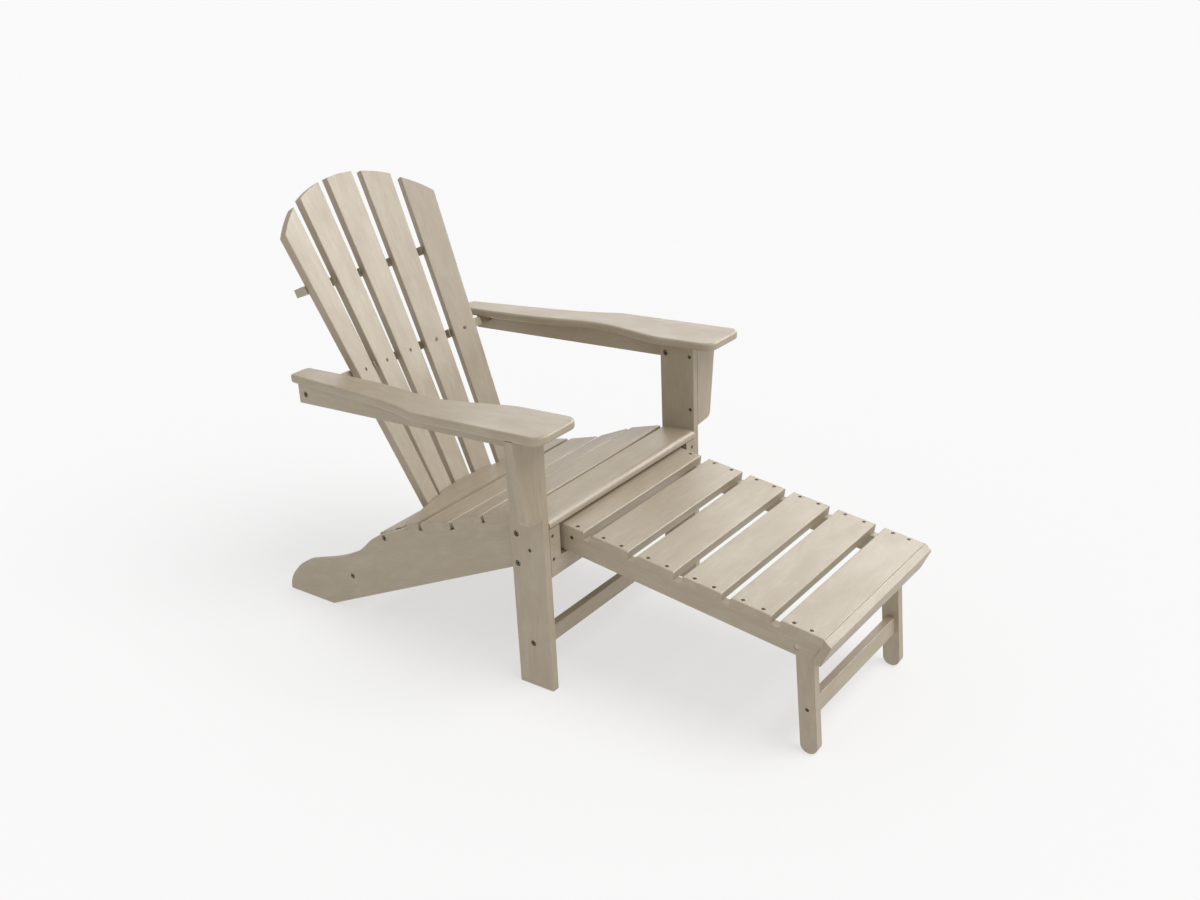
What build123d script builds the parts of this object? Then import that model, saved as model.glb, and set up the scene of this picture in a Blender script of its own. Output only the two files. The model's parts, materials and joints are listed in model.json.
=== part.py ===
from build123d import *
import os
from math import atan, cos, degrees, radians, sin, tan

os.makedirs("parts", exist_ok=True)

# Adirondack chair with a slide-out footrest. Millimetres, +Z up, the sitter faces -Y.
# Lengths along Y are given from the front face of the front legs.
FRONT = -111.2  # that face, in the part's own frame
T = 19.0  # thickness of every board
LEG_X = 294.5  # outer faces of the front legs
RAIL_X = LEG_X - T  # outer faces of the side rails, which the legs stand against
BODY_X = RAIL_X - T  # inner faces of the side rails
LEG_W = 89.0
EDGE = 2.0  # rounding of the frame boards
SLAT_EDGE = 4.0  # rounding of the seat slats
FOOT_EDGE = 3.2  # rounding of the footrest slats' tops
BACK_EDGE = 3.0  # rounding of the back slats
ARM_EDGE = 5.5  # rounding of the arms
NOSING = 12.0  # front edge of the seat
ARM_Z = 625.0  # arm top above the front legs' front face
ARM_FALL = 0.0358  # how far the arm falls for each millimetre rearwards
RECLINE = 23.37  # back slats, from upright
SLOPE = 8.09  # footrest, down to the front
FOOT_X = 225.0  # outer faces of the footrest rails
FOOT_HALF = 227.5  # half length of the footrest slats
ROD_R = 5.0
ROD_Y = 9.5
ROD_Z = 304.85
PIVOT_V = 588.0  # footrest leg pivot, along the slope
PIVOT_H = -42.0
LEG_LEAN = 3.8  # footrest legs, foot forward

SIDE = Plane(origin=(0, FRONT, 0), x_dir=(0, 1, 0), z_dir=(1, 0, 0))
FACE = Plane(origin=(0, FRONT, 0), x_dir=(1, 0, 0), z_dir=(0, -1, 0))
ARM_TOP = Plane(origin=(0, FRONT, ARM_Z), x_dir=(1, 0, 0), z_dir=(0, ARM_FALL, 1))
LEAN = radians(RECLINE)
UPWARD = Vector(0, sin(LEAN), cos(LEAN))
FORWARD = Vector(0, -cos(LEAN), sin(LEAN))
BACK = Plane(origin=(0, FRONT + 616.8, 574.7), x_dir=(1, 0, 0), z_dir=FORWARD)
FALL = radians(SLOPE)
FOOT = Plane(origin=(0, FRONT + 35.7, 376.0), x_dir=(1, 0, 0), z_dir=(0, -sin(FALL), cos(FALL)))
DOWN = (Align.CENTER, Align.CENTER, Align.MAX)
UP = (Align.CENTER, Align.CENTER, Align.MIN)
SIDES = ((-1, "right"), (1, "left"))


def site(x, y, z, normal):
    """A fastener's place on a surface: the point, and the way out of the wood."""
    return Plane(origin=(x, FRONT + y, z), z_dir=normal).location


def sink(sites, head, recess, shank, length):
    """Cut the head's recess and the hole for the shank."""
    with Locations(*sites):
        Cylinder(head / 2 + 0.3, recess, align=DOWN, mode=Mode.SUBTRACT)
        Cylinder(shank / 2 + 0.05, length + 1, align=DOWN, mode=Mode.SUBTRACT)


def fasten(sites, head, recess, shank, length, tall):
    """The fasteners themselves: a domed head on the recess floor, and a shank."""
    with Locations(*sites):
        with Locations((0, 0, -recess)):
            Cylinder(head / 2, tall, align=UP)
            Cylinder(shank / 2, length - recess, align=DOWN)


def pin_holes(sites, radius, reach):
    """Blind holes for hidden pins, which reach equally into both boards."""
    with Locations(*sites):
        Cylinder(radius + 0.05, 2 * reach + 1, mode=Mode.SUBTRACT)


def prism(points, x, thick=T):
    """A board lying in the side plane, from its outline and its lower X face."""
    with BuildSketch(SIDE.offset(x)) as outline:
        with BuildLine():
            Polyline(*points, close=True)
        make_face()
    extrude(outline.sketch, amount=thick)


def on_foot(v, h):
    """Side-plane point at v down the footrest and h above its slat tops."""
    y = 35.7 - v * cos(FALL) - h * sin(FALL)
    return (y, 376.0 - v * sin(FALL) + h * cos(FALL))


SCREW = dict(head=8.0, recess=2.6, shank=4.0)
BOLT = dict(head=13.0, recess=5.0, shank=6.0)
PIN_R = 3.0
PIN_REACH = 9.0

# Fastener places
LEG_BOLTS = []
LEG_SCREWS = []
STRETCHER_BOLTS = []
REAR_BOLTS = []
SUPPORT_BOLTS = []
ARM_RAIL_BOLTS = []
ARM_END_BOLTS = []
BRACKET_SCREWS = []
for side, word in SIDES:
    out = (side, 0, 0)
    inward = (-side, 0, 0)
    LEG_BOLTS.append(site(side * LEG_X, 72.6, 358.6, out))
    LEG_BOLTS.append(site(side * LEG_X, 73.7, 289.5, out))
    LEG_SCREWS.append(site(side * LEG_X, 39.6, 327.9, out))
    STRETCHER_BOLTS.append(site(side * LEG_X, 46.5, 105.0, out))
    REAR_BOLTS.append(site(side * RAIL_X, 607.0, 97.0, out))
    SUPPORT_BOLTS.append(site(side * RAIL_X, 485.6, 229.3, out))
    ARM_RAIL_BOLTS.append(site(side * RAIL_X, 75.0, 576.0, inward))
    ARM_END_BOLTS.append(site(side * (LEG_X + T), 641.0, 562.0, out))
    BRACKET_SCREWS.append(site(side * RAIL_X, 9.5, 576.0, inward))
    BRACKET_SCREWS.append(site(side * RAIL_X, 9.5, 447.0, inward))
APRON_SCREWS = []
for x in (-266, 266):
    for z in (306, 359):
        APRON_SCREWS.append(site(x, 0, z, (0, -1, 0)))

# Seat: the top surface runs through these points, one slat between each pair
SEAT_TOPS = [
    ((-2.0, 398.0), (85.25, 392.4)),
    ((94.75, 391.4), (179.25, 367.8)),
    ((188.75, 363.4), (271.25, 327.0)),
    ((280.75, 323.0), (366.25, 298.6)),
    ((375.75, 296.6), (488.0, 272.4)),
]
# Rear edge of the seat, which follows the hollow of the back: across, and out from the middle slat
REAR_EDGE = [(45.0, -7.5), (105.0, -25.0), (163.0, -42.5), (215.0, -58.5), (277.5, -76.0)]
BEHIND = Plane(origin=BACK.origin, x_dir=(1, 0, 0), z_dir=UPWARD)
SEAT_NAMES = ["front_seat_slat", "second_seat_slat", "third_seat_slat", "fourth_seat_slat", "rear_seat_slat"]


def under(slat):
    """The underside corners of a seat slat, square to its top."""
    (y0, z0), (y1, z1) = slat
    long = ((y1 - y0) ** 2 + (z1 - z0) ** 2) ** 0.5
    ny, nz = (z1 - z0) / long, -(y1 - y0) / long
    return (y0 + ny * T, z0 + nz * T), (y1 + ny * T, z1 + nz * T)


# The rear slat's ends are short, so its pins stand closer together and further forward
SEAT_PINS = {}
for name, slat in zip(SEAT_NAMES, SEAT_TOPS):
    (y0, z0), (y1, z1) = under(slat)
    SEAT_PINS[name] = []
    for part in (0.07, 0.19) if name == "rear_seat_slat" else (0.3, 0.62):
        for x in (-266, 266):
            point = (y0 + part * (y1 - y0), z0 + part * (z1 - z0))
            SEAT_PINS[name].append(site(x, point[0], point[1], (0, -(z1 - z0), y1 - y0)))
ALL_SEAT_PINS = [place for places in SEAT_PINS.values() for place in places]

# Front legs
ARM_UNDER = ARM_Z - T * (1 + ARM_FALL**2) ** 0.5
for side, word in SIDES:
    x = LEG_X - T if side > 0 else -LEG_X
    with BuildPart() as front_leg:
        prism([(0, 0), (LEG_W, 0), (LEG_W, ARM_UNDER - ARM_FALL * LEG_W), (0, ARM_UNDER)], x)
        fillet(front_leg.edges().filter_by(Axis.Z), radius=EDGE)
        sink(LEG_BOLTS, **BOLT, length=36)
        sink(LEG_SCREWS, **SCREW, length=34)
        sink(STRETCHER_BOLTS, **BOLT, length=60)
        sink(ARM_RAIL_BOLTS, **BOLT, length=34)
        sink(BRACKET_SCREWS, **SCREW, length=50)
    front_leg.part.label = word + "_front_leg"
    export_step(front_leg.part, "parts/" + word + "_front_leg.step")

# Side rails, from the front apron to the rear foot
rail_top = []
for slat in SEAT_TOPS[:4]:
    rail_top.extend(under(slat))
rear_under = under(SEAT_TOPS[4])
rail_top.append(rear_under[0])
rise = (rear_under[1][1] - rear_under[0][1]) / (rear_under[1][0] - rear_under[0][0])
rail_top.append((424.0, rear_under[0][1] + rise * (424.0 - rear_under[0][0])))
rail_top[0] = (19.0, SEAT_TOPS[0][0][1] - T - 1.5)
TAIL = [(463, 248.5), (497, 233.5), (532, 211), (560, 184), (606, 154)]
TAIL = TAIL + [(642, 136.5), (678, 122.5), (714, 110.5), (752, 98)]
HEEL = [(775, 87), (809, 56), (830, 23)]
for side, word in SIDES:
    x = BODY_X if side > 0 else -RAIL_X
    with BuildPart() as side_rail:
        with BuildSketch(SIDE.offset(x)):
            with BuildLine():
                Polyline((19, 267), *rail_top)
                Spline(rail_top[-1], *TAIL)
                Spline(TAIL[-1], *HEEL, (833, 0))
                Polyline((833, 0), (686, 0), (97.5, 267), (19, 267))
            make_face()
        extrude(amount=T)
        sink(LEG_BOLTS, **BOLT, length=36)
        sink(LEG_SCREWS, **SCREW, length=34)
        sink(REAR_BOLTS, **BOLT, length=60)
        sink(SUPPORT_BOLTS, **BOLT, length=60)
        sink(APRON_SCREWS, **SCREW, length=50)
        pin_holes(ALL_SEAT_PINS, PIN_R, PIN_REACH)
    side_rail.part.label = word + "_side_rail"
    export_step(side_rail.part, "parts/" + word + "_side_rail.step")

# Front apron: its notch lets the footrest through, and its cheeks hold the rest rod
with BuildPart() as front_apron:
    with BuildSketch(FACE) as apron_outline:
        with Locations((0, 322.2)):
            Rectangle(2 * RAIL_X, 110.4)
        with Locations((0, 406)):
            Rectangle(484, 200.3, mode=Mode.SUBTRACT)
        inner = apron_outline.vertices().group_by(Axis.Y)[1]
        fillet(inner, radius=4)
    extrude(amount=-T)
    with Locations((0, FRONT + ROD_Y, ROD_Z)):
        Cylinder(ROD_R + 0.1, 2 * 256.0, rotation=(0, 90, 0), mode=Mode.SUBTRACT)
    sink(APRON_SCREWS, **SCREW, length=50)
front_apron.part.label = "front_apron"
export_step(front_apron.part, "parts/front_apron.step")

# Rest rod, which the footrest slides and tips on
with BuildPart() as rest_rod:
    with Locations((0, FRONT + ROD_Y, ROD_Z)):
        Cylinder(ROD_R, 2 * 255.0, rotation=(0, 90, 0))
    chamfer(rest_rod.edges(), length=0.6)
rest_rod.part.label = "rest_rod"
export_step(rest_rod.part, "parts/rest_rod.step")

# Stretchers between the front legs and between the side rails
with BuildPart() as front_stretcher:
    with Locations((0, FRONT + 46.5, 102)):
        Box(2 * RAIL_X, T, 38)
    fillet(front_stretcher.edges().filter_by(Axis.X), radius=EDGE)
    sink(STRETCHER_BOLTS, **BOLT, length=60)
front_stretcher.part.label = "front_stretcher"
export_step(front_stretcher.part, "parts/front_stretcher.step")

with BuildPart() as rear_stretcher:
    with Locations((0, FRONT + 607, 97)):
        Box(2 * BODY_X, T, 64)
    fillet(rear_stretcher.edges().filter_by(Axis.X), radius=EDGE)
    sink(REAR_BOLTS, **BOLT, length=60)
rear_stretcher.part.label = "rear_stretcher"
export_step(rear_stretcher.part, "parts/rear_stretcher.step")

# Seat slats
for name, slat in zip(SEAT_NAMES, SEAT_TOPS):
    low = under(slat)
    rear = name == "rear_seat_slat"
    far_edge = [(-x, y) for x, y in REAR_EDGE]
    with BuildPart() as seat_slat:
        prism([slat[0], slat[1], low[1], low[0]], -RAIL_X, 2 * RAIL_X)
        if rear:
            with BuildSketch(BEHIND.offset(-400)):
                with BuildLine():
                    Spline(*reversed(far_edge), (0, -1.5), *REAR_EDGE)
                    Polyline(REAR_EDGE[-1], (REAR_EDGE[-1][0], -300), (far_edge[-1][0], -300), far_edge[-1])
                make_face()
            extrude(amount=200, mode=Mode.INTERSECT)
        elif name == "front_seat_slat":
            long_edges = seat_slat.edges().filter_by(Axis.X)
            top_front = long_edges.sort_by(Axis.Z)[-1]
            fillet([edge for edge in long_edges if edge is not top_front], radius=SLAT_EDGE)
            fillet(seat_slat.edges().filter_by(Axis.X).sort_by(Axis.Z)[-1], radius=NOSING)
        else:
            fillet(seat_slat.edges().filter_by(Axis.X), radius=SLAT_EDGE)
        if name == "front_seat_slat":
            for side in (-1, 1):
                with Locations((side * (RAIL_X + 10), FRONT + 40, 390)):
                    Box(20, 140, 60, mode=Mode.SUBTRACT)
        pin_holes(SEAT_PINS[name], PIN_R, PIN_REACH)
    seat_slat.part.label = name
    export_step(seat_slat.part, "parts/" + name + ".step")

with BuildPart() as seat_pins:
    with Locations(*ALL_SEAT_PINS):
        Cylinder(PIN_R, 2 * PIN_REACH)
seat_pins.part.label = "seat_pins"
export_step(seat_pins.part, "parts/seat_pins.step")

# Arms, arm rails and brackets
ARM_PIN_YS = (140.0, 330.0, 520.0)
ARM_PINS = []
for side, word in SIDES:
    for y in ARM_PIN_YS:
        ARM_PINS.append(site(side * (LEG_X + T / 2), y, ARM_UNDER - ARM_FALL * y, (0, ARM_FALL, 1)))
for side, word in SIDES:
    with BuildPart() as arm:
        with BuildSketch(ARM_TOP) as arm_outline:
            with BuildLine():
                Line((side * 244, 57), (side * 244, -68))
                Line((side * 244, -68), (side * 375, -68))
                Line((side * 375, -68), (side * 375, 246))
                Spline(
                    (side * 375, 246),
                    (side * 365.5, 297),
                    (side * 312.5, 690),
                    tangents=((0, 1), (-side * 53, 387)),
                )
                Line((side * 312.5, 690), (side * 256, 690))
                Line((side * 256, 690), (side * 256, 574))
                Spline(
                    (side * 256, 574),
                    (side * 267, 400),
                    (side * 281, 285),
                    (side * 257.6, 146),
                    (side * 244, 57),
                    tangents=((side * 11, -174), (0, -1)),
                )
            make_face()
            front = arm_outline.vertices().group_by(Axis.Y)[0]
            fillet(front, radius=26)
            rear = arm_outline.vertices().group_by(Axis.Y)[-1]
            fillet(rear, radius=12)
        extrude(amount=-T)
        fillet(arm.edges().group_by(Axis.Z)[-1] + arm.faces().sort_by(Axis.Z)[-1].edges(), radius=ARM_EDGE)
        pin_holes(ARM_PINS, PIN_R, PIN_REACH)
    arm.part.label = word + "_arm"
    export_step(arm.part, "parts/" + word + "_arm.step")

    x = LEG_X if side > 0 else -LEG_X - T
    with BuildPart() as arm_rail:
        top = [(19.2, ARM_UNDER - ARM_FALL * 19.2), (662, ARM_UNDER - ARM_FALL * 662)]
        prism([top[0], top[1], (662, top[1][1] - 43), (19.2, top[0][1] - 43)], x)
        sink(ARM_RAIL_BOLTS, **BOLT, length=34)
        sink(ARM_END_BOLTS, **BOLT, length=60)
        pin_holes(ARM_PINS, PIN_R, PIN_REACH)
    arm_rail.part.label = word + "_arm_rail"
    export_step(arm_rail.part, "parts/" + word + "_arm_rail.step")

    with BuildPart() as arm_bracket:
        with BuildSketch(FACE) as bracket_outline:
            with BuildLine():
                Polyline(
                    (side * LEG_X, ARM_UNDER - 0.7),
                    (side * 373, ARM_UNDER - 0.7),
                    (side * 345.6, 410),
                    (side * LEG_X, 405),
                    close=True,
                )
            make_face()
            low = bracket_outline.vertices().group_by(Axis.Y)[1]
            fillet(low, radius=16)
        extrude(amount=-T)
        sink(BRACKET_SCREWS, **SCREW, length=50)
    arm_bracket.part.label = word + "_arm_bracket"
    export_step(arm_bracket.part, "parts/" + word + "_arm_bracket.step")

with BuildPart() as arm_pins:
    with Locations(*ARM_PINS):
        Cylinder(PIN_R, 2 * PIN_REACH)
arm_pins.part.label = "arm_pins"
export_step(arm_pins.part, "parts/arm_pins.step")

# Back: five slats fanned out from the seat and set round a shallow hollow
PITCH = 84.9
FAN = 0.0509  # slat spacing gained for each millimetre up the back
HOLLOW = {0: 0.0, 1: 6.39, 2: 25.6}  # how far each slat stands forward of the middle one
TURN = {0: 0.0, 1: 0.134, 2: 0.269}  # how far it is turned inwards, as a slope
EASE = {0: 0.0, 1: -0.0032, 2: -0.0127}  # how the hollow flattens up the back
SLATS = {}
for i in range(-2, 3):
    hand = 1 if i > 0 else -1
    along = Vector(FAN * i, 1, EASE[abs(i)]).normalized()
    across = Vector(1, 0, hand * TURN[abs(i)])
    out = across.cross(along).normalized()
    across = along.cross(out)
    start = BACK.from_local_coords(Vector(PITCH * i, 0, HOLLOW[abs(i)]))
    turn = lambda v: BACK.x_dir * v.X + BACK.y_dir * v.Y + BACK.z_dir * v.Z
    SLATS[i] = Plane(origin=start, x_dir=turn(across), z_dir=turn(out))

LOWER_S = 0.0
UPPER_S = 211.0
BOTTOM_S = -369.0
FRONT_SCREWS = {}
UPPER_SCREWS = {}
BOTTOM_SCREWS = {}
for i, plane in SLATS.items():
    FRONT_SCREWS[i] = plane.location * Location((0, LOWER_S, 0))
    UPPER_SCREWS[i] = plane.location * Location((0, UPPER_S, -T), (180, 0, 0))
    BOTTOM_SCREWS[i] = plane.location * Location((0, BOTTOM_S, -T), (180, 0, 0))
REACH = 14.0  # how far the screws from behind go into a slat


def slat_pins(places):
    """Blind holes from a slat's back face, half in the slat and half in the brace."""
    with Locations(*places):
        Cylinder(2.05, 2 * REACH, mode=Mode.SUBTRACT)


for i, plane in SLATS.items():
    name = "back_slat_" + str(i + 3)
    with BuildPart() as back_slat:
        with BuildSketch(plane):
            with BuildLine():
                Polyline((-26.3, -380), (26.3, -380), (41.0, 440), (-41.0, 440), close=True)
            make_face()
        extrude(amount=-T)
        with BuildSketch(BACK.offset(60)):
            with BuildLine():
                ThreePointArc((-334, 106), (0, 440), (334, 106))
                Polyline((334, 106), (334, -400), (-334, -400), (-334, 106))
            make_face()
        extrude(amount=-120, mode=Mode.INTERSECT)
        fillet(back_slat.edges().filter_by(lambda edge: edge.length > 500), radius=BACK_EDGE)
        sink([FRONT_SCREWS[i]], **SCREW, length=50)
        slat_pins([UPPER_SCREWS[i], BOTTOM_SCREWS[i]])
    back_slat.part.label = name
    export_step(back_slat.part, "parts/" + name + ".step")


def seat_slats_in(s):
    """Cut a brace back to the slats' rear faces, each at its own angle."""
    for i, plane in SLATS.items():
        wide = PITCH + FAN * s + 1.0
        shift = 0.0
        if abs(i) == 2:
            shift = 60.0 * i / 2
            wide = wide + 120.0
        with Locations(plane.location * Location((shift, s, -T))):
            Box(wide, 80, 140, align=UP, mode=Mode.SUBTRACT)


def brace(s, half, rear, front, corner):
    """A brace across the back of the slats, hollowed to seat each of them."""
    origin = BACK.from_local_coords(Vector(0, s, 0))
    across = Plane(origin=origin, x_dir=(1, 0, 0), z_dir=UPWARD)
    with BuildSketch(across) as outline:
        with Locations((0, rear / 2)):
            Rectangle(2 * half, rear)
        fillet(outline.vertices(), radius=corner)
        with Locations((0, rear / 2 - front)):
            Rectangle(2 * min(half - corner, 245), rear)
    extrude(outline.sketch, amount=T / 2, both=True)
    seat_slats_in(s)


with BuildPart() as lower_brace:
    brace(LOWER_S, LEG_X, 55.8, 12.0, 10.0)
    sink(list(FRONT_SCREWS.values()), **SCREW, length=50)
    sink(ARM_END_BOLTS, **BOLT, length=60)
lower_brace.part.label = "lower_back_brace"
export_step(lower_brace.part, "parts/lower_back_brace.step")

# The upper brace keeps one depth behind the slats, so its back edge follows their hollow
UPPER_REAR = [(97.0, 46.0), (191.3, 29.1), (241.0, 15.7)]
with BuildPart() as upper_brace:
    upper_face = Plane(origin=BACK.from_local_coords(Vector(0, UPPER_S, 0)), x_dir=(1, 0, 0), z_dir=UPWARD)
    with BuildSketch(upper_face) as upper_outline:
        with BuildLine():
            far_rear = [(-x, y) for x, y in UPPER_REAR]
            Spline(*reversed(far_rear), (0, 52.0), *UPPER_REAR)
            Polyline(UPPER_REAR[-1], (241.0, -22.0), (-241.0, -22.0), far_rear[-1])
        make_face()
    extrude(amount=T / 2, both=True)
    seat_slats_in(UPPER_S)
    slat_pins(list(UPPER_SCREWS.values()))
upper_brace.part.label = "upper_back_brace"
export_step(upper_brace.part, "parts/upper_back_brace.step")

with BuildPart() as bottom_brace:
    brace(BOTTOM_S, BODY_X, 50.0, 16.0, 4.0)
    slat_pins(list(BOTTOM_SCREWS.values()))
    sink(SUPPORT_BOLTS, **BOLT, length=60)
bottom_brace.part.label = "bottom_back_brace"
export_step(bottom_brace.part, "parts/bottom_back_brace.step")

with BuildPart() as back_pins:
    with Locations(*UPPER_SCREWS.values(), *BOTTOM_SCREWS.values()):
        Cylinder(2.0, 2 * REACH - 1)
back_pins.part.label = "back_brace_pins"
export_step(back_pins.part, "parts/back_brace_pins.step")

with BuildPart() as back_screws:
    fasten(FRONT_SCREWS.values(), **SCREW, length=50, tall=1.4)
back_screws.part.label = "back_screws"
export_step(back_screws.part, "parts/back_screws.step")

# Frame fasteners
with BuildPart() as leg_bolts:
    fasten(LEG_BOLTS, **BOLT, length=36, tall=3.6)
leg_bolts.part.label = "leg_bolts"
export_step(leg_bolts.part, "parts/leg_bolts.step")

with BuildPart() as leg_screws:
    fasten(LEG_SCREWS, **SCREW, length=34, tall=1.4)
leg_screws.part.label = "leg_screws"
export_step(leg_screws.part, "parts/leg_screws.step")

with BuildPart() as stretcher_bolts:
    fasten(STRETCHER_BOLTS, **BOLT, length=60, tall=3.6)
stretcher_bolts.part.label = "front_stretcher_bolts"
export_step(stretcher_bolts.part, "parts/front_stretcher_bolts.step")

with BuildPart() as rear_bolts:
    fasten(REAR_BOLTS + SUPPORT_BOLTS, **BOLT, length=60, tall=3.6)
rear_bolts.part.label = "rear_frame_bolts"
export_step(rear_bolts.part, "parts/rear_frame_bolts.step")

with BuildPart() as arm_bolts:
    fasten(ARM_RAIL_BOLTS, **BOLT, length=34, tall=3.6)
    fasten(ARM_END_BOLTS, **BOLT, length=60, tall=3.6)
arm_bolts.part.label = "arm_rail_bolts"
export_step(arm_bolts.part, "parts/arm_rail_bolts.step")

with BuildPart() as bracket_screws:
    fasten(BRACKET_SCREWS, **SCREW, length=50, tall=1.4)
bracket_screws.part.label = "bracket_screws"
export_step(bracket_screws.part, "parts/bracket_screws.step")

with BuildPart() as apron_screws:
    fasten(APRON_SCREWS, **SCREW, length=50, tall=1.4)
apron_screws.part.label = "apron_screws"
export_step(apron_screws.part, "parts/apron_screws.step")

# Footrest rails, battens and slats
FOOT_SCREWS = {}
for k in range(1, 7):
    rows = (20.6, 57.6) if k == 6 else (19.0, 63.7)
    FOOT_SCREWS[k] = []
    for x in (-216, 216):
        for row in rows:
            v = (k - 1) * 110.0 + row
            FOOT_SCREWS[k].append(FOOT.location * Location((x, -v, 0)))
ALL_FOOT_SCREWS = [place for places in FOOT_SCREWS.values() for place in places]
BATTEN_SCREWS = []
STOP_SCREWS = []
PIVOTS = []
PIVOT = on_foot(PIVOT_V, PIVOT_H)
for side, word in SIDES:
    batten = on_foot(56.6, -26.0)
    BATTEN_SCREWS.append(site(side * FOOT_X, batten[0], batten[1], (side, 0, 0)))
    stop = on_foot(12.6, -54.0)
    STOP_SCREWS.append(site(side * FOOT_X, stop[0], stop[1], (side, 0, 0)))
    PIVOTS.append(site(side * FOOT_X, PIVOT[0], PIVOT[1], (side, 0, 0)))
NOSE_PINS = []
nose_mid = on_foot(630.0, -39.0)
nose_out = (0, -cos(FALL - radians(20.2)), -sin(FALL - radians(20.2)))
for x in (-215.5, 215.5):
    NOSE_PINS.append(site(x, nose_mid[0], nose_mid[1], nose_out))
RAIL_LOW = -60.6
NOSE_BEND = (637.0, -19.0)
NOSE_LOW = (622.3, RAIL_LOW)
for side, word in SIDES:
    x = FOOT_X - T if side > 0 else -FOOT_X
    with BuildPart() as foot_rail:
        corners = [(-3, -T), NOSE_BEND, NOSE_LOW, (-3, RAIL_LOW)]
        prism([on_foot(v, h) for v, h in corners], x)
        sink(ALL_FOOT_SCREWS, **SCREW, length=50)
        sink(BATTEN_SCREWS, **SCREW, length=50)
        sink(STOP_SCREWS, **SCREW, length=50)
        sink(PIVOTS, head=13.0, recess=4.0, shank=8.0, length=56)
        pin_holes(NOSE_PINS, 2.5, 6.0)
    foot_rail.part.label = word + "_footrest_rail"
    export_step(foot_rail.part, "parts/" + word + "_footrest_rail.step")

for k in range(1, 7):
    name = "footrest_slat_" + str(k)
    start = 8.0 if k == 1 else (k - 1) * 110.0 - 3.0
    end = 640.0 if k == 6 else (k - 1) * 110.0 + 86.5
    with BuildPart() as foot_slat:
        with BuildSketch(FOOT):
            with Locations((0, -(start + end) / 2)):
                Rectangle(2 * FOOT_HALF, end - start)
        extrude(amount=-T)
        fillet(foot_slat.faces().sort_by(Axis.Z)[-1].edges(), radius=FOOT_EDGE)
        sink(FOOT_SCREWS[k], **SCREW, length=50)
    foot_slat.part.label = name
    export_step(foot_slat.part, "parts/" + name + ".step")

with BuildPart() as nose:
    outline = [(640.4, -0.8), (655, -11), (656, -14), (641.6, RAIL_LOW), NOSE_LOW, NOSE_BEND, (640.4, -T)]
    prism([on_foot(v, h) for v, h in outline], -FOOT_HALF, 2 * FOOT_HALF)
    pin_holes(NOSE_PINS, 2.5, 6.0)
nose.part.label = "footrest_nose"
export_step(nose.part, "parts/footrest_nose.step")

with BuildPart() as nose_pins:
    with Locations(*NOSE_PINS):
        Cylinder(2.5, 12.0)
nose_pins.part.label = "nose_pins"
export_step(nose_pins.part, "parts/nose_pins.step")

with BuildPart() as cross_batten:
    outline = [(47.1, -T), (66.1, -T), (66.1, -57), (47.1, -57)]
    prism([on_foot(v, h) for v, h in outline], T - FOOT_X, 2 * (FOOT_X - T))
    sink(BATTEN_SCREWS, **SCREW, length=50)
cross_batten.part.label = "footrest_cross_batten"
export_step(cross_batten.part, "parts/footrest_cross_batten.step")

# The stop batten hangs below the rails and meets the apron's back when the footrest is out
STOP_GAP = 0.3
stop_front = (35.7 - T - STOP_GAP + 66.0 * sin(FALL)) / cos(FALL)
with BuildPart() as stop_batten:
    outline = [(stop_front - T, -44), (stop_front, -44), (stop_front, -86), (stop_front - T, -86)]
    prism([on_foot(v, h) for v, h in outline], T - FOOT_X, 2 * (FOOT_X - T))
    sink(STOP_SCREWS, **SCREW, length=50)
stop_batten.part.label = "footrest_stop_batten"
export_step(stop_batten.part, "parts/footrest_stop_batten.step")

with BuildPart() as foot_screws:
    fasten(ALL_FOOT_SCREWS, **SCREW, length=50, tall=1.4)
foot_screws.part.label = "footrest_slat_screws"
export_step(foot_screws.part, "parts/footrest_slat_screws.step")

with BuildPart() as batten_screws:
    fasten(BATTEN_SCREWS + STOP_SCREWS, **SCREW, length=50, tall=1.4)
batten_screws.part.label = "batten_screws"
export_step(batten_screws.part, "parts/batten_screws.step")

# Folding legs under the footrest
SPACER = 7.4
LEG_OUT = FOOT_X - T - SPACER - 0.6  # outer faces of the folding legs
LEG_LEN = (PIVOT[1] - 19.0) / cos(radians(LEG_LEAN))
lean_y = sin(radians(LEG_LEAN))
lean_z = cos(radians(LEG_LEAN))
RUNG = 153.0  # rung centre, down the leg from the pivot
RUNG_AT = (PIVOT[0] - RUNG * lean_y, PIVOT[1] - RUNG * lean_z)
RUNG_SCREWS = []
for side, word in SIDES:
    RUNG_SCREWS.append(site(side * LEG_OUT, RUNG_AT[0], RUNG_AT[1], (side, 0, 0)))
for side, word in SIDES:
    x = LEG_OUT - T if side > 0 else -LEG_OUT
    middle = (PIVOT[0] - LEG_LEN / 2 * lean_y, PIVOT[1] - LEG_LEN / 2 * lean_z)
    with BuildPart() as foot_leg:
        with BuildSketch(SIDE.offset(x)):
            with Locations(middle):
                SlotCenterToCenter(LEG_LEN, 38, rotation=90 - LEG_LEAN)
        extrude(amount=T)
        sink(PIVOTS, head=13.0, recess=4.0, shank=8.0, length=56)
        sink(RUNG_SCREWS, **SCREW, length=50)
    foot_leg.part.label = word + "_footrest_leg"
    export_step(foot_leg.part, "parts/" + word + "_footrest_leg.step")

with BuildPart() as leg_rung:
    half = LEG_OUT - T
    across = (T / 2 * lean_z, -T / 2 * lean_y)
    along = (19 * lean_y, 19 * lean_z)
    corners = []
    for a, b in ((-1, -1), (1, -1), (1, 1), (-1, 1)):
        corners.append((RUNG_AT[0] + a * across[0] + b * along[0], RUNG_AT[1] + a * across[1] + b * along[1]))
    prism(corners, -half, 2 * half)
    fillet(leg_rung.edges().filter_by(Axis.X), radius=EDGE)
    sink(RUNG_SCREWS, **SCREW, length=50)
leg_rung.part.label = "footrest_leg_rung"
export_step(leg_rung.part, "parts/footrest_leg_rung.step")

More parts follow.
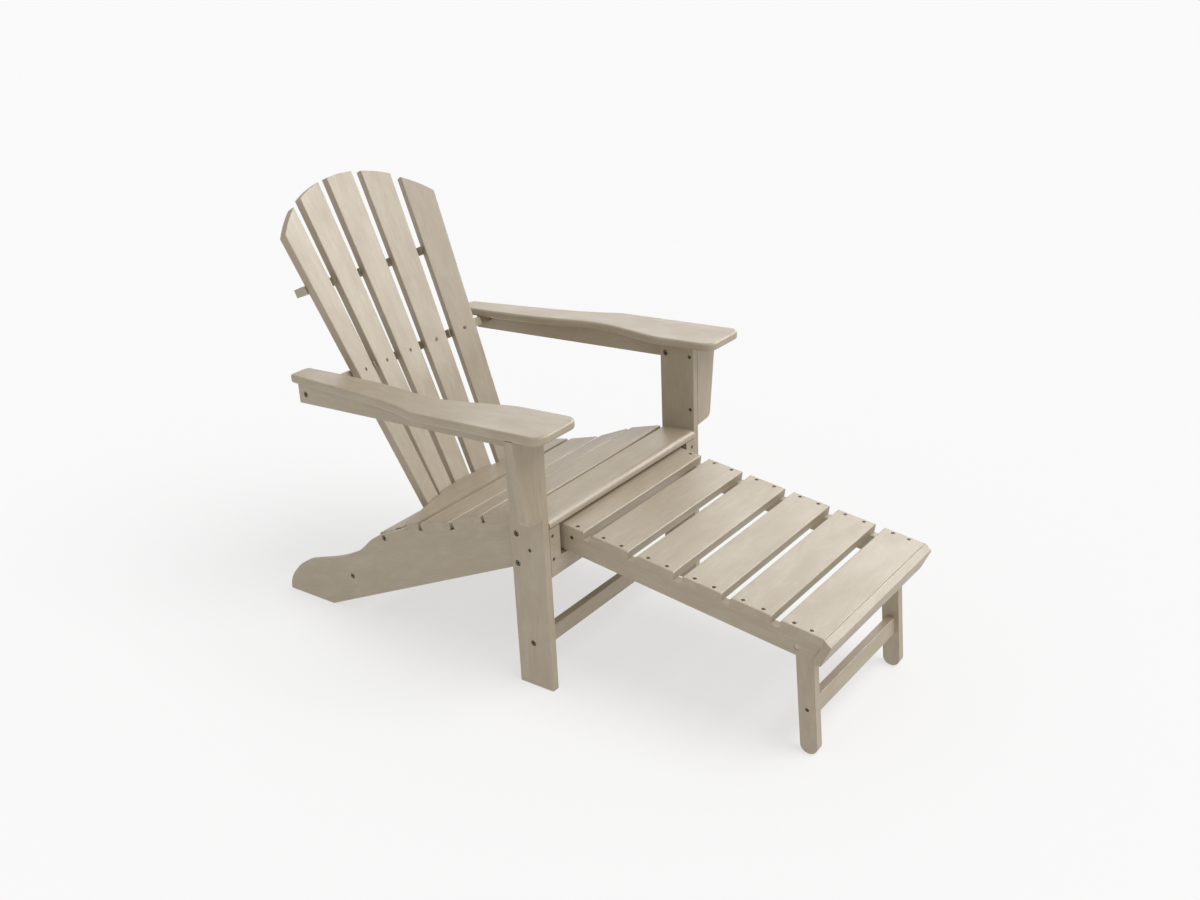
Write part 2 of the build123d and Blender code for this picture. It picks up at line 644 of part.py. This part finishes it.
with BuildPart() as rung_screws:
    fasten(RUNG_SCREWS, **SCREW, length=50, tall=1.4)
rung_screws.part.label = "rung_screws"
export_step(rung_screws.part, "parts/rung_screws.step")

with BuildPart() as pivot_bolts:
    with Locations(*PIVOTS):
        with Locations((0, 0, -4.0)):
            Cylinder(6.5, 3.0, align=UP)
            Cylinder(4.0, 2 * T + SPACER + 3.2, align=DOWN)
pivot_bolts.part.label = "leg_pivot_bolts"
export_step(pivot_bolts.part, "parts/leg_pivot_bolts.step")

with BuildPart() as pivot_nuts:
    with BuildSketch(*[Plane(place).offset(-2 * T - SPACER - 0.9) for place in PIVOTS]):
        RegularPolygon(7.4, 6)
        Circle(4.05, mode=Mode.SUBTRACT)
    extrude(amount=-6)
pivot_nuts.part.label = "leg_pivot_nuts"
export_step(pivot_nuts.part, "parts/leg_pivot_nuts.step")

with BuildPart() as pivot_spacers:
    with Locations(*PIVOTS):
        with Locations((0, 0, -T)):
            Cylinder(12.0, SPACER, align=DOWN)
            Cylinder(4.05, SPACER, align=DOWN, mode=Mode.SUBTRACT)
pivot_spacers.part.label = "leg_pivot_spacers"
export_step(pivot_spacers.part, "parts/leg_pivot_spacers.step")
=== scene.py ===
import json
import math
import random

import bmesh
import bpy
from bpy.props import FloatProperty, FloatVectorProperty, PointerProperty
from bpy.types import Operator, Panel, PropertyGroup
from mathutils import Matrix, Vector


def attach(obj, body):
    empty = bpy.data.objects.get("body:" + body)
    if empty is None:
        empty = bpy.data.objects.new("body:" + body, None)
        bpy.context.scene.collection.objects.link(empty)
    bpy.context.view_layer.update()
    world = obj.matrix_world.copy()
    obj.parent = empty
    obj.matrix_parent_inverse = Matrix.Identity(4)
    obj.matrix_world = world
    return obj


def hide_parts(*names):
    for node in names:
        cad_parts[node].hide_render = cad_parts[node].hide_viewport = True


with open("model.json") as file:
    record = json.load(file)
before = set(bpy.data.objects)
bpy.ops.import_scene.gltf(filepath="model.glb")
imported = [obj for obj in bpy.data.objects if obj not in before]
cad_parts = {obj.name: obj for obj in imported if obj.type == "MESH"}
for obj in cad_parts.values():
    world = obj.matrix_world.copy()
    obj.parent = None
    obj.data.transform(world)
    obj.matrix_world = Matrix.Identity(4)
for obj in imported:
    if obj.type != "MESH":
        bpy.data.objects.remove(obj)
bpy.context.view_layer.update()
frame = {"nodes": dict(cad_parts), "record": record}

bl_info = {
    "name": "Adirondack Chair",
    "version": (1, 0, 0),
    "blender": (4, 5, 0),
    "location": "View3D > Sidebar > Chair",
    "description": "Finishes a plastic lumber adirondack chair with a slide-out footrest",
    "category": "Object",
}

RECORD = frame["record"]
NODES = frame["nodes"]
SLOT_OF = {row["node"]: row["material_slot"] for row in RECORD["subparts"]}
BODY_OF = {node: body for body, nodes in RECORD["behaviour"]["bodies"].items() for node in nodes}
RECLINE = math.radians(23.37)  # back, from upright
SLOPE = math.radians(8.09)  # footrest, down to the front
RAIL_FALL = Vector((0, 0.92, -0.39))  # along the side rails, down to the rear
FAN = 0.0509  # sideways lean of each back slat past its neighbour

ACROSS = Vector((1, 0, 0))
LENGTHWISE = Vector((0, 1, 0))
UPRIGHT = Vector((0, 0, 1))
RECLINED = Vector((0, math.sin(RECLINE), math.cos(RECLINE)))
DOWNHILL = Vector((0, math.cos(SLOPE), math.sin(SLOPE)))

# Height of a head, sides of its recess and radius of its shank, in metres
BOLT_SHAPE = (0.0036, 6, 0.003)
SCREW_SHAPE = (0.0014, 4, 0.002)
HEAD_SEGMENTS = 24
DOME = 0.95  # how far round the dome of a head goes, in radians
BOLT_NODES = ("leg_bolts", "front_stretcher_bolts", "rear_frame_bolts", "arm_rail_bolts")
SCREW_NODES = (
    "leg_screws",
    "bracket_screws",
    "apron_screws",
    "back_screws",
    "footrest_slat_screws",
    "batten_screws",
    "rung_screws",
)
FLOOR_GLOW = 0.565
SKY_GLOW = 0.53
BACKDROP_GLOW = 0.945
LENS = 40.655
CAMERA_AT = (-2.1812, -1.6766, 1.6144)
CAMERA_TURN = (-53.16, 23.38, -2.57)  # yaw, pitch and roll in degrees
SOFTBOX_REACH = 4.4
SOFTBOX_HEIGHT = 2.7
# Name, bearing in degrees and power of each softbox
SOFTBOXES = (("near_softbox", -45.0, 195.0), ("side_softbox", -5.0, 175.0), ("rear_softbox", 38.0, 66.0))
# Boards whose sawn edges are softened here
SHARP_BOARDS = ("side_rail", "arm_rail", "bracket", "footrest_rail", "nose", "batten", "apron", "brace")


def grain_of(node):
    """The way the grain runs along a board."""
    if node.startswith("back_slat"):
        fan = (int(node[-1]) - 3) * FAN
        return (RECLINED + fan * ACROSS).normalized()
    if "footrest_leg" in node and "rung" not in node:
        return UPRIGHT
    if node.endswith("front_leg") or node.endswith("bracket"):
        return UPRIGHT
    if node.endswith("footrest_rail"):
        return DOWNHILL
    if node.endswith("side_rail"):
        return RAIL_FALL
    if node.endswith("_arm") or node.endswith("arm_rail"):
        return LENGTHWISE
    return ACROSS


# ---------------------------------------------------------------- sizes and colours


class ChairSizes(PropertyGroup):
    bolt_head: FloatProperty(
        name="Bolt head", description="Diameter of a bolt head", default=0.0130, unit="LENGTH"
    )
    bolt_socket: FloatProperty(
        name="Bolt socket",
        description="Width of the socket in a bolt head",
        default=0.0052,
        unit="LENGTH",
    )
    screw_head: FloatProperty(
        name="Screw head", description="Diameter of a screw head", default=0.0080, unit="LENGTH"
    )
    screw_socket: FloatProperty(
        name="Screw recess",
        description="Width of the drive recess in a screw head",
        default=0.0034,
        unit="LENGTH",
    )
    edge_round: FloatProperty(
        name="Edge rounding",
        description="Rounding of the sawn board edges",
        default=0.0018,
        unit="LENGTH",
    )


class ChairColours(PropertyGroup):
    lumber: FloatVectorProperty(
        name="Lumber",
        description="Main colour of the plastic lumber",
        default=(0.412, 0.344, 0.250),
        subtype="COLOR",
    )
    lumber_dark: FloatVectorProperty(
        name="Lumber grain",
        description="Colour in the grain's furrows",
        default=(0.332, 0.271, 0.190),
        subtype="COLOR",
    )
    lumber_light: FloatVectorProperty(
        name="Lumber ridges",
        description="Colour on the grain's ridges",
        default=(0.472, 0.408, 0.310),
        subtype="COLOR",
    )
    steel: FloatVectorProperty(
        name="Steel",
        description="Colour of the stainless fasteners",
        default=(0.52, 0.45, 0.36),
        subtype="COLOR",
    )
    floor: FloatVectorProperty(
        name="Floor",
        description="Colour of the studio floor",
        default=(0.41, 0.41, 0.41),
        subtype="COLOR",
    )


# ---------------------------------------------------------------- materials


def lumber_group():
    """Embossed, slightly mottled plastic lumber. The input runs along the grain in X."""
    name = "plastic_lumber"
    if name in bpy.data.node_groups:
        return bpy.data.node_groups[name]
    group = bpy.data.node_groups.new(name, "ShaderNodeTree")
    face = group.interface
    face.new_socket("Vector", in_out="INPUT", socket_type="NodeSocketVector")
    for label in ("Base", "Furrow", "Ridge"):
        face.new_socket(label, in_out="INPUT", socket_type="NodeSocketColor")
    face.new_socket("Mottle", in_out="INPUT", socket_type="NodeSocketFloat").default_value = 0.5
    face.new_socket("Color", in_out="OUTPUT", socket_type="NodeSocketColor")
    face.new_socket("Roughness", in_out="OUTPUT", socket_type="NodeSocketFloat")
    face.new_socket("Height", in_out="OUTPUT", socket_type="NodeSocketFloat")
    nodes, links = group.nodes, group.links
    source = nodes.new("NodeGroupInput")
    sink = nodes.new("NodeGroupOutput")

    def stretched(x, y, z):
        node = nodes.new("ShaderNodeVectorMath")
        node.operation = "MULTIPLY"
        node.inputs[1].default_value = (x, y, z)
        links.new(source.outputs["Vector"], node.inputs[0])
        return node.outputs["Vector"]

    def noise(vector, scale, detail, rough, twist):
        node = nodes.new("ShaderNodeTexNoise")
        node.inputs["Scale"].default_value = scale
        node.inputs["Detail"].default_value = detail
        node.inputs["Roughness"].default_value = rough
        node.inputs["Distortion"].default_value = twist
        links.new(vector, node.inputs["Vector"])
        return node.outputs["Fac"]

    def remap(value, low, high, to_low, to_high):
        node = nodes.new("ShaderNodeMapRange")
        node.inputs["From Min"].default_value = low
        node.inputs["From Max"].default_value = high
        node.inputs["To Min"].default_value = to_low
        node.inputs["To Max"].default_value = to_high
        links.new(value, node.inputs["Value"])
        return node.outputs["Result"]

    def mix(factor, first, second):
        node = nodes.new("ShaderNodeMix")
        node.data_type = "RGBA"
        links.new(factor, node.inputs["Factor"])
        links.new(first, node.inputs["A"])
        links.new(second, node.inputs["B"])
        return node.outputs["Result"]

    def weigh(value, weight, add=None):
        node = nodes.new("ShaderNodeMath")
        node.operation = "MULTIPLY_ADD"
        node.inputs[1].default_value = weight
        node.inputs[2].default_value = 0.0
        links.new(value, node.inputs[0])
        if add is not None:
            links.new(add, node.inputs[2])
        return node.outputs["Value"]

    figure = noise(stretched(2.2, 26, 26), 1.6, 5.0, 0.55, 0.9)
    fibre = noise(stretched(9, 150, 150), 2.4, 5.0, 0.62, 0.3)
    cloud = noise(stretched(7, 16, 16), 1.0, 3.0, 0.5, 0.4)
    patch = noise(stretched(14, 34, 34), 1.0, 4.0, 0.55, 0.6)
    speck = noise(stretched(420, 700, 700), 1.0, 2.0, 0.5, 0.0)
    furrow = remap(fibre, 0.36, 0.60, 0.52, 0.0)
    ridge = remap(figure, 0.50, 0.74, 0.0, 0.42)
    pale = remap(patch, 0.46, 0.68, 0.0, 0.6)
    colour = mix(ridge, source.outputs["Base"], source.outputs["Ridge"])
    colour = mix(pale, colour, source.outputs["Ridge"])
    dulled = nodes.new("ShaderNodeMath")
    dulled.operation = "MULTIPLY"
    links.new(furrow, dulled.inputs[0])
    links.new(source.outputs["Mottle"], dulled.inputs[1])
    colour = mix(dulled.outputs["Value"], colour, source.outputs["Furrow"])
    links.new(colour, sink.inputs["Color"])
    links.new(remap(cloud, 0.3, 0.7, 0.36, 0.52), sink.inputs["Roughness"])
    height = weigh(fibre, 0.40, weigh(figure, 0.40, weigh(speck, 0.05, weigh(cloud, 0.35))))
    links.new(height, sink.inputs["Height"])
    return group


def metal_group():
    """Brushing and dulling of small stainless parts."""
    name = "stainless_wear"
    if name in bpy.data.node_groups:
        return bpy.data.node_groups[name]
    group = bpy.data.node_groups.new(name, "ShaderNodeTree")
    face = group.interface
    face.new_socket("Vector", in_out="INPUT", socket_type="NodeSocketVector")
    face.new_socket("Base", in_out="INPUT", socket_type="NodeSocketColor")
    face.new_socket("Tarnish", in_out="INPUT", socket_type="NodeSocketColor")
    face.new_socket("Color", in_out="OUTPUT", socket_type="NodeSocketColor")
    face.new_socket("Roughness", in_out="OUTPUT", socket_type="NodeSocketFloat")
    nodes, links = group.nodes, group.links
    source = nodes.new("NodeGroupInput")
    sink = nodes.new("NodeGroupOutput")
    noise = nodes.new("ShaderNodeTexNoise")
    noise.inputs["Scale"].default_value = 900.0
    noise.inputs["Detail"].default_value = 4.0
    links.new(source.outputs["Vector"], noise.inputs["Vector"])
    mix = nodes.new("ShaderNodeMix")
    mix.data_type = "RGBA"
    links.new(noise.outputs["Fac"], mix.inputs["Factor"])
    links.new(source.outputs["Base"], mix.inputs["A"])
    links.new(source.outputs["Tarnish"], mix.inputs["B"])
    links.new(mix.outputs["Result"], sink.inputs["Color"])
    rough = nodes.new("ShaderNodeMapRange")
    rough.inputs["To Min"].default_value = 0.24
    rough.inputs["To Max"].default_value = 0.46
    links.new(noise.outputs["Fac"], rough.inputs["Value"])
    links.new(rough.outputs["Result"], sink.inputs["Roughness"])
    return group


def new_material(name):
    """A material with only a Principled shader, and its tree's nodes and links."""
    material = bpy.data.materials.new(name)
    material.use_nodes = True
    nodes = material.node_tree.nodes
    return material, nodes, material.node_tree.links, nodes["Principled BSDF"]


def lumber_material(node, dice):
    """Plastic lumber with its grain along one board, different on every board."""
    colours = bpy.context.scene.chair_colours
    material, nodes, links, shader = new_material("lumber_" + node)
    place = nodes.new("ShaderNodeTexCoord")
    turn = nodes.new("ShaderNodeMapping")
    turn.vector_type = "TEXTURE"
    grain = grain_of(node)
    turn.inputs["Rotation"].default_value = grain.to_track_quat("X", "Z").to_euler()
    turn.inputs["Location"].default_value = [dice.uniform(-3, 3) for _ in range(3)]
    links.new(place.outputs["Object"], turn.inputs["Vector"])
    group = nodes.new("ShaderNodeGroup")
    group.node_tree = lumber_group()
    shade = dice.uniform(0.965, 1.035)
    tones = (("Base", colours.lumber), ("Furrow", colours.lumber_dark), ("Ridge", colours.lumber_light))
    for label, colour in tones:
        group.inputs[label].default_value = [min(1.0, part * shade) for part in colour] + [1.0]
    group.inputs["Mottle"].default_value = dice.uniform(0.5, 0.75)
    links.new(turn.outputs["Vector"], group.inputs["Vector"])
    links.new(group.outputs["Color"], shader.inputs["Base Color"])
    links.new(group.outputs["Roughness"], shader.inputs["Roughness"])
    bump = nodes.new("ShaderNodeBump")
    bump.inputs["Strength"].default_value = 0.45
    bump.inputs["Distance"].default_value = 0.0011
    links.new(group.outputs["Height"], bump.inputs["Height"])
    links.new(bump.outputs["Normal"], shader.inputs["Normal"])
    shader.inputs["IOR"].default_value = 1.5
    return material


def steel_material(name, brightness=1.0):
    """Stainless steel for the fasteners. A lower brightness makes the whole colour of the steel darker.
    """
    colours = bpy.context.scene.chair_colours
    material, nodes, links, shader = new_material(name)
    place = nodes.new("ShaderNodeTexCoord")
    group = nodes.new("ShaderNodeGroup")
    group.node_tree = metal_group()
    group.inputs["Base"].default_value = [part * brightness for part in colours.steel] + [1.0]
    group.inputs["Tarnish"].default_value = [part * 0.62 * brightness for part in colours.steel] + [1.0]
    links.new(place.outputs["Object"], group.inputs["Vector"])
    links.new(group.outputs["Color"], shader.inputs["Base Color"])
    links.new(group.outputs["Roughness"], shader.inputs["Roughness"])
    shader.inputs["Metallic"].default_value = 1.0
    return material


def put_material(piece, material):
    """One material on every slot of a piece."""
    if not piece.material_slots:
        piece.data.materials.append(material)
    for number in range(len(piece.material_slots)):
        piece.material_slots[number].link = "OBJECT"
        piece.material_slots[number].material = material


# ---------------------------------------------------------------- fasteners


def islands(node):
    """The separate solids of a node, each as a list of its points."""
    shape = bmesh.new()
    shape.from_mesh(NODES[node].data)
    bmesh.ops.remove_doubles(shape, verts=shape.verts, dist=1e-6)
    seen, found = set(), []
    for start in shape.verts:
        if start.index in seen:
            continue
        stack, group = [start], []
        seen.add(start.index)
        while stack:
            vert = stack.pop()
            group.append(vert.co.copy())
            for edge in vert.link_edges:
                other = edge.other_vert(vert)
                if other.index not in seen:
                    seen.add(other.index)
                    stack.append(other)
        found.append(group)
    shape.free()
    return found


def fastener_axis(points):
    """The head's top centre, the way out of the wood, and the whole length."""
    centre = sum(points, Vector()) / len(points)
    far = max(points, key=lambda p: (p - centre).length)
    axis = (far - centre).normalized()
    for _ in range(6):
        total = Vector()
        for point in points:
            reach = point - centre
            total += reach * reach.dot(axis)
        axis = total.normalized()
    spans = [(point - centre).dot(axis) for point in points]
    low, high = min(spans), max(spans)

    def girth(at):
        rims = [p for p, s in zip(points, spans) if abs(s - at) < 2e-4]
        return max(((p - centre) - axis * (p - centre).dot(axis)).length for p in rims)

    if girth(low) > girth(high):
        axis, low, high = -axis, -high, -low
    return centre, axis, low, high


def head_on(shape, matrix, radius, tall, socket, sides, shank, length):
    """A domed head with a drive recess, on its shank, pointing out along the matrix's Z."""
    rings = []
    for step in range(5):
        lift = step / 4.0
        rise = math.sin(lift * DOME) / math.sin(DOME)
        rings.append((radius * math.cos(lift * DOME), tall * (0.35 + 0.65 * rise)))
    made = bmesh.ops.create_circle(shape, cap_ends=False, segments=HEAD_SEGMENTS, radius=radius * 0.985)
    loop = [edge for edge in shape.edges if edge.verts[0] in made["verts"]]
    whole = list(made["verts"])
    for ring, height in rings:
        grown = bmesh.ops.extrude_edge_only(shape, edges=loop)
        verts = [item for item in grown["geom"] if isinstance(item, bmesh.types.BMVert)]
        loop = [item for item in grown["geom"] if isinstance(item, bmesh.types.BMEdge)]
        for vert in verts:
            flat = Vector((vert.co.x, vert.co.y, 0)).normalized()
            vert.co = Vector((flat.x * ring, flat.y * ring, height))
        whole += verts
    floor = bmesh.ops.create_circle(shape, cap_ends=False, segments=HEAD_SEGMENTS, radius=socket / 2)
    rim = [edge for edge in shape.edges if edge.verts[0] in floor["verts"]]
    for number, vert in enumerate(floor["verts"]):
        turn = math.atan2(vert.co.y, vert.co.x)
        wedge = 2 * math.pi / sides
        bite = math.cos(wedge / 2) / math.cos((turn % wedge) - wedge / 2)
        vert.co = Vector((vert.co.x * bite, vert.co.y * bite, tall))
    whole += floor["verts"]
    bmesh.ops.bridge_loops(shape, edges=loop + rim)
    sunk = bmesh.ops.extrude_edge_only(shape, edges=rim)
    verts = [item for item in sunk["geom"] if isinstance(item, bmesh.types.BMVert)]
    lines = [item for item in sunk["geom"] if isinstance(item, bmesh.types.BMEdge)]
    for vert in verts:
        vert.co.z = tall * 0.35
    whole += verts
    bmesh.ops.contextual_create(shape, geom=lines)
    base = bmesh.ops.create_circle(shape, cap_ends=False, segments=HEAD_SEGMENTS, radius=shank)
    inner = [edge for edge in shape.edges if edge.verts[0] in base["verts"]]
    outer = [edge for edge in shape.edges if all(vert in made["verts"] for vert in edge.verts)]
    bmesh.ops.bridge_loops(shape, edges=inner + outer)
    whole += base["verts"]
    drop = bmesh.ops.extrude_edge_only(shape, edges=inner)
    verts = [item for item in drop["geom"] if isinstance(item, bmesh.types.BMVert)]
    lines = [item for item in drop["geom"] if isinstance(item, bmesh.types.BMEdge)]
    for vert in verts:
        vert.co.z = -length
    whole += verts
    bmesh.ops.contextual_create(shape, geom=lines)
    bmesh.ops.transform(shape, matrix=matrix, verts=list(dict.fromkeys(whole)))


def add_fasteners(node, head, socket, kind, material):
    """All fasteners of one node as one piece that stands for it."""
    tall, sides, shank = kind
    mesh = bpy.data.meshes.new(node + "_detailed")
    shape = bmesh.new()
    for points in islands(node):
        centre, axis, low, high = fastener_axis(points)
        upright = axis.to_track_quat("Z", "Y").to_matrix().to_4x4()
        matrix = Matrix.Translation(centre + axis * (high - tall)) @ upright
        one = bmesh.new()
        head_on(one, matrix, head / 2, tall, socket, sides, shank, (high - low) - tall)
        bmesh.ops.recalc_face_normals(one, faces=one.faces)
        part = bpy.data.meshes.new("part")
        one.to_mesh(part)
        one.free()
        shape.from_mesh(part)
        bpy.data.meshes.remove(part)
    for face in shape.faces:
        face.smooth = True
    shape.to_mesh(mesh)
    shape.free()
    piece = bpy.data.objects.new(node + "_detailed", mesh)
    bpy.context.collection.objects.link(piece)
    mesh.materials.append(material)
    mesh.set_sharp_from_angle(angle=math.radians(35))
    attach(piece, BODY_OF[node])
    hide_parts(node)
    return piece


# ---------------------------------------------------------------- operators


class CHAIR_OT_boards(Operator):
    """Finish every board with its own grain, and soften the sawn edges of the boards named in
    SHARP_BOARDS
    """

    bl_idname = "chair.boards"
    bl_label = "Finish Boards"

    def execute(self, context):
        dice = random.Random(11)
        boards = [node for node in sorted(NODES) if SLOT_OF[node] == "lumber"]
        if not boards:
            raise RuntimeError("the frame has no boards")
        for node in boards:
            piece = NODES[node]
            put_material(piece, lumber_material(node, dice))
            if any(word in node for word in SHARP_BOARDS):
                weld = piece.modifiers.new("join_triangles", "WELD")
                weld.merge_threshold = 1e-6
                soften = piece.modifiers.new("soften_edges", "BEVEL")
                soften.width = context.scene.chair_sizes.edge_round
                soften.segments = 2
                soften.limit_method = "ANGLE"
                soften.angle_limit = math.radians(50)
                soften.use_clamp_overlap = True
        return {"FINISHED"}


class CHAIR_OT_bolts(Operator):
    """Add the socket bolts of the frame"""

    bl_idname = "chair.bolts"
    bl_label = "Add Bolts"

    def execute(self, context):
        sizes = context.scene.chair_sizes
        steel = steel_material("stainless_bolts", 0.5)
        for node in BOLT_NODES:
            add_fasteners(node, sizes.bolt_head, sizes.bolt_socket, BOLT_SHAPE, steel)
        return {"FINISHED"}


class CHAIR_OT_screws(Operator):
    """Add the recessed screws of the frame and the footrest"""

    bl_idname = "chair.screws"
    bl_label = "Add Screws"

    def execute(self, context):
        sizes = context.scene.chair_sizes
        steel = steel_material("stainless_screws", 0.3)
        for node in SCREW_NODES:
            add_fasteners(node, sizes.screw_head, sizes.screw_socket, SCREW_SHAPE, steel)
        return {"FINISHED"}


class CHAIR_OT_fittings(Operator):
    """Finish the rod, the pins, and the pivots' bolts, nuts and spacers"""

    bl_idname = "chair.fittings"
    bl_label = "Finish Fittings"

    def execute(self, context):
        steel = steel_material("stainless_fittings")
        dice = random.Random(23)
        for node in sorted(NODES):
            if node in BOLT_NODES or node in SCREW_NODES or SLOT_OF[node] == "lumber":
                continue
            if SLOT_OF[node] == "steel":
                put_material(NODES[node], steel)
            else:
                put_material(NODES[node], lumber_material(node, dice))
        return {"FINISHED"}


class CHAIR_OT_stage(Operator):
    """Set up the floor, the lights and the camera"""

    bl_idname = "chair.stage"
    bl_label = "Set Stage"

    def execute(self, context):
        scene = context.scene
        mesh = bpy.data.meshes.new("studio_floor")
        shape = bmesh.new()
        bmesh.ops.create_grid(shape, x_segments=1, y_segments=1, size=90.0)
        shape.to_mesh(mesh)
        shape.free()
        floor = bpy.data.objects.new("studio_floor", mesh)
        floor.location.z = -0.0005
        scene.collection.objects.link(floor)
        material, nodes, links, shader = new_material("studio_floor")
        shader.inputs["Base Color"].default_value = list(scene.chair_colours.floor) + [1.0]
        shader.inputs["Roughness"].default_value = 0.95
        shader.inputs["Specular IOR Level"].default_value = 0.0
        shader.inputs["Emission Color"].default_value = (1.0, 1.0, 1.0, 1.0)
        shader.inputs["Emission Strength"].default_value = FLOOR_GLOW
        mesh.materials.append(material)

        world = bpy.data.worlds.new("studio_world")
        world.use_nodes = True
        world.node_tree.nodes["Background"].inputs["Color"].default_value = (1.0, 1.0, 1.0, 1.0)
        world.node_tree.nodes["Background"].inputs["Strength"].default_value = SKY_GLOW
        # The sky seen beyond the floor is as pale as the floor, and lights nothing
        sky = world.node_tree
        backdrop = sky.nodes.new("ShaderNodeBackground")
        backdrop.inputs["Color"].default_value = (1.0, 1.0, 1.0, 1.0)
        backdrop.inputs["Strength"].default_value = BACKDROP_GLOW
        rays = sky.nodes.new("ShaderNodeLightPath")
        pick = sky.nodes.new("ShaderNodeMixShader")
        sky.links.new(rays.outputs["Is Camera Ray"], pick.inputs["Fac"])
        sky.links.new(sky.nodes["Background"].outputs["Background"], pick.inputs[1])
        sky.links.new(backdrop.outputs["Background"], pick.inputs[2])
        sky.links.new(pick.outputs["Shader"], sky.nodes["World Output"].inputs["Surface"])
        scene.world = world

        lamp = bpy.data.lights.new("overhead_softbox", "SUN")
        lamp.energy = 1.50
        lamp.angle = math.radians(42)
        light = bpy.data.objects.new("overhead_softbox", lamp)
        light.rotation_euler = Vector((0.12, -0.5, 0.86)).to_track_quat("Z", "Y").to_euler()
        scene.collection.objects.link(light)

        # Softboxes that only add the pale sheen of the boards' tops and of the back
        for name, bearing, energy in SOFTBOXES:
            wide = bpy.data.lights.new(name, "AREA")
            wide.shape = "RECTANGLE"
            wide.size = 3.6
            wide.size_y = 3.0
            wide.energy = energy
            side = bpy.data.objects.new(name, wide)
            turned = math.radians(bearing)
            side.location = (
                SOFTBOX_REACH * math.cos(turned),
                SOFTBOX_REACH * math.sin(turned),
                SOFTBOX_HEIGHT,
            )
            side.visible_diffuse = False
            aim = side.location - Vector((0.0, -0.1, 0.4))
            side.rotation_euler = aim.to_track_quat("Z", "Y").to_euler()
            scene.collection.objects.link(side)

        lens = bpy.data.cameras.new("view_camera")
        lens.lens = LENS
        lens.sensor_width = 36.0
        lens.clip_start = 0.05
        lens.clip_end = 400.0
        camera = bpy.data.objects.new("view_camera", lens)
        yaw, pitch, roll = (math.radians(angle) for angle in CAMERA_TURN)
        level = math.cos(pitch)
        back = Vector((math.sin(yaw) * level, -math.cos(yaw) * level, math.sin(pitch)))
        right = (-back).cross(Vector((0, 0, 1))).normalized()
        up = right.cross(-back)
        right, up = (
            right * math.cos(roll) + up * math.sin(roll),
            up * math.cos(roll) - right * math.sin(roll),
        )
        turn = Matrix((right, up, back)).transposed().to_4x4()
        camera.matrix_world = Matrix.Translation(CAMERA_AT) @ turn
        scene.collection.objects.link(camera)
        scene.camera = camera
        scene.view_settings.view_transform = "Standard"
        scene.view_settings.look = "None"
        scene.view_settings.exposure = 0.0
        return {"FINISHED"}


class CHAIR_PT_panel(Panel):
    """The chair's pieces, sizes and colours"""

    bl_label = "Adirondack Chair"
    bl_idname = "CHAIR_PT_panel"
    bl_space_type = "VIEW_3D"
    bl_region_type = "UI"
    bl_category = "Chair"

    def draw(self, context):
        layout = self.layout
        for operator in OPERATORS:
            layout.operator(operator.bl_idname)
        for group in (context.scene.chair_sizes, context.scene.chair_colours):
            for name in group.__annotations__:
                layout.prop(group, name)


OPERATORS = (CHAIR_OT_boards, CHAIR_OT_bolts, CHAIR_OT_screws, CHAIR_OT_fittings, CHAIR_OT_stage)
CLASSES = (ChairSizes, ChairColours) + OPERATORS + (CHAIR_PT_panel,)


def register():
    for item in CLASSES:
        bpy.utils.register_class(item)
    bpy.types.Scene.chair_sizes = PointerProperty(type=ChairSizes)
    bpy.types.Scene.chair_colours = PointerProperty(type=ChairColours)


def unregister():
    del bpy.types.Scene.chair_colours
    del bpy.types.Scene.chair_sizes
    for item in reversed(CLASSES):
        bpy.utils.unregister_class(item)


def main():
    register()
    bpy.ops.chair.boards()
    bpy.ops.chair.bolts()
    bpy.ops.chair.screws()
    bpy.ops.chair.fittings()
    bpy.ops.chair.stage()


if __name__ == "__main__":
    main()
